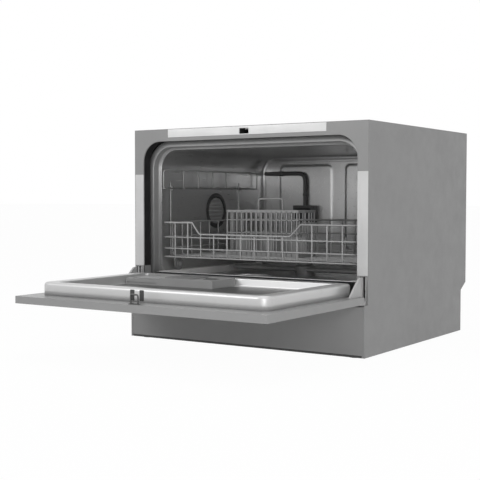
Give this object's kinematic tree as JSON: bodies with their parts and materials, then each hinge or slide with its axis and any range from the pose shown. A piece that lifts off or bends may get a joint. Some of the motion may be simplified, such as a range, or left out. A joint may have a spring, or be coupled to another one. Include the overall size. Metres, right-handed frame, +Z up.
{
  "type": "countertop dishwasher",
  "caption": "Countertop dishwasher with a drop-down door, a steel tub, a pull-out wire basket with cutlery holder, and a turning spray arm.",
  "frame": {"origin": "middle of the ground that the machine covers with its door open, on the surface that the feet stand on", "axes": "+Z up, front and opened door towards -Y, +X to the right seen from the front"},
  "size_m": [0.55, 0.834, 0.438],
  "materials": {
    "cabinet_paint": "satin",
    "frame_steel": "satin",
    "plinth_paint": "satin",
    "white_trim": "gloss",
    "tub_steel": "polished",
    "black_rubber": "matte",
    "dark_plastic": "matte",
    "grey_plastic": "matte",
    "pale_plastic": "satin",
    "coated_wire": "satin",
    "zinc_steel": "satin",
    "lens_black": "gloss",
    "circuit_green": "satin"
  },
  "bodies": {
    "cabinet": {"side_panel_left": "cabinet_paint", "side_panel_right": "cabinet_paint", "top_cover": "cabinet_paint", "rear_panel": "zinc_steel", "base_pan": "dark_plastic", "front_plinth": "plinth_paint", "front_frame": "frame_steel", "frame_trim_top": "white_trim", "frame_trim_sides": "white_trim", "tub_shell": "tub_steel", "tub_back": "tub_steel", "tub_floor": "tub_steel", "door_gasket": "black_rubber", "sill_seal": "black_rubber", "vent_cap": "dark_plastic", "air_break": "pale_plastic", "riser_pipe": "dark_plastic", "riser_block": "dark_plastic", "runner_rails": "pale_plastic", "sump": "dark_plastic", "filter_plate": "tub_steel", "softener_tank": "pale_plastic", "flow_heater": "zinc_steel", "wash_pump": "dark_plastic", "drain_pump": "dark_plastic", "inlet_valve": "pale_plastic", "drain_outlet": "dark_plastic", "cable_gland": "black_rubber", "latch_body": "dark_plastic", "hinge_brackets": "zinc_steel", "hinge_pins": "zinc_steel", "door_springs": "zinc_steel", "levelling_feet": "black_rubber", "spray_hub": "grey_plastic"},
    "door": {"door_panel": "cabinet_paint", "door_liner": "tub_steel", "hinge_arms": "zinc_steel", "latch_striker": "zinc_steel", "control_fascia": "dark_plastic", "control_board": "circuit_green", "display_lens": "lens_black", "dispenser": "grey_plastic"},
    "latch_catch": {"latch_catch": "pale_plastic"},
    "wash_impeller": {"wash_impeller": "pale_plastic"},
    "filter_cup": {"filter_cup": "grey_plastic"},
    "softener_cap": {"softener_cap": "pale_plastic"},
    "float_cap": {"float_cap": "pale_plastic"},
    "spray_arm": {"spray_arm": "grey_plastic"},
    "power_button": {"power_button": "pale_plastic"},
    "programme_button": {"programme_button": "pale_plastic"},
    "start_button": {"start_button": "pale_plastic"},
    "detergent_lid": {"detergent_lid": "grey_plastic"},
    "rinse_cap": {"rinse_cap": "grey_plastic"},
    "basket": {"basket": "coated_wire"},
    "wheel_front_left": {"wheel_front_left": "grey_plastic"},
    "wheel_front_right": {"wheel_front_right": "grey_plastic"},
    "wheel_rear_left": {"wheel_rear_left": "grey_plastic"},
    "wheel_rear_right": {"wheel_rear_right": "grey_plastic"},
    "cup_shelf": {"cup_shelf": "coated_wire"},
    "cutlery_basket": {"cutlery_basket": "grey_plastic"}
  },
  "joints": [
    {"name": "door_hinge", "type": "hinge", "parent": "cabinet", "child": "door", "pos_m": [0, -0.08175, 0.10275], "axis": [1, 0, 0], "range_deg": [-90, 0], "deforming": ["door_springs"]},
    {"name": "basket_slide", "type": "slide", "parent": "cabinet", "child": "basket", "axis": [0, -1, 0], "range_m": [0, 0.27]},
    {"name": "cup_shelf_fold", "type": "hinge", "parent": "basket", "child": "cup_shelf", "pos_m": [-0.23, 0.167, 0.316], "axis": [0, 1, 0], "range_deg": [0, 90]},
    {"name": "cutlery_lift", "type": "slide", "parent": "basket", "child": "cutlery_basket", "axis": [0, 0, 1], "range_m": [0, 0.1]},
    {"name": "detergent_lid_slide", "type": "slide", "parent": "door", "child": "detergent_lid", "axis": [-1, 0, 0], "range_m": [0, 0.058]},
    {"name": "rinse_cap_turn", "type": "hinge", "parent": "door", "child": "rinse_cap", "pos_m": [-0.03, -0.135, 0.135], "axis": [0, 0, 1], "range_deg": [0, 90]},
    {"name": "power_press", "type": "slide", "parent": "door", "child": "power_button", "axis": [0, 0, 1], "range_m": [0, 0.0012], "stiffness_N_per_m": 400},
    {"name": "programme_press", "type": "slide", "parent": "door", "child": "programme_button", "axis": [0, 0, 1], "range_m": [0, 0.0012], "stiffness_N_per_m": 400},
    {"name": "start_press", "type": "slide", "parent": "door", "child": "start_button", "axis": [0, 0, 1], "range_m": [0, 0.0012], "stiffness_N_per_m": 400},
    {"name": "latch_catch_swing", "type": "hinge", "parent": "cabinet", "child": "latch_catch", "pos_m": [0.002, -0.0375, 0.4323], "axis": [1, 0, 0], "range_deg": [0, 10], "stiffness_Nm_per_rad": 0.02},
    {"name": "spray_arm_spin", "type": "hinge", "parent": "cabinet", "child": "spray_arm", "pos_m": [0, 0.177, 0.14], "axis": [0, 0, 1], "continuous": true},
    {"name": "wash_impeller_spin", "type": "hinge", "parent": "cabinet", "child": "wash_impeller", "pos_m": [0.005, 0.097, 0.072], "axis": [1, 0, 0], "continuous": true},
    {"name": "filter_cup_turn", "type": "hinge", "parent": "cabinet", "child": "filter_cup", "pos_m": [-0.1, 0.097, 0.12], "axis": [0, 0, 1], "range_deg": [0, 90]},
    {"name": "softener_cap_turn", "type": "hinge", "parent": "cabinet", "child": "softener_cap", "pos_m": [0.13, 0.262, 0.128], "axis": [0, 0, 1], "range_deg": [0, 90]},
    {"name": "float_rise", "type": "slide", "parent": "cabinet", "child": "float_cap", "axis": [0, 0, 1], "range_m": [0, 0.006]},
    {"name": "wheel_front_left_spin", "type": "hinge", "parent": "basket", "child": "wheel_front_left", "pos_m": [-0.225, 0.017, 0.1526], "axis": [1, 0, 0], "continuous": true},
    {"name": "wheel_front_right_spin", "type": "hinge", "parent": "basket", "child": "wheel_front_right", "pos_m": [0.225, 0.017, 0.1526], "axis": [1, 0, 0], "continuous": true},
    {"name": "wheel_rear_left_spin", "type": "hinge", "parent": "basket", "child": "wheel_rear_left", "pos_m": [-0.225, 0.317, 0.1526], "axis": [1, 0, 0], "continuous": true},
    {"name": "wheel_rear_right_spin", "type": "hinge", "parent": "basket", "child": "wheel_rear_right", "pos_m": [0.225, 0.317, 0.1526], "axis": [1, 0, 0], "continuous": true}
  ],
  "couplings": [
    {"joint": "wheel_front_left_spin", "follows": "basket_slide", "rad_per_m": 76.923},
    {"joint": "wheel_front_right_spin", "follows": "basket_slide", "rad_per_m": 76.923},
    {"joint": "wheel_rear_left_spin", "follows": "basket_slide", "rad_per_m": 76.923},
    {"joint": "wheel_rear_right_spin", "follows": "basket_slide", "rad_per_m": 76.923}
  ]
}
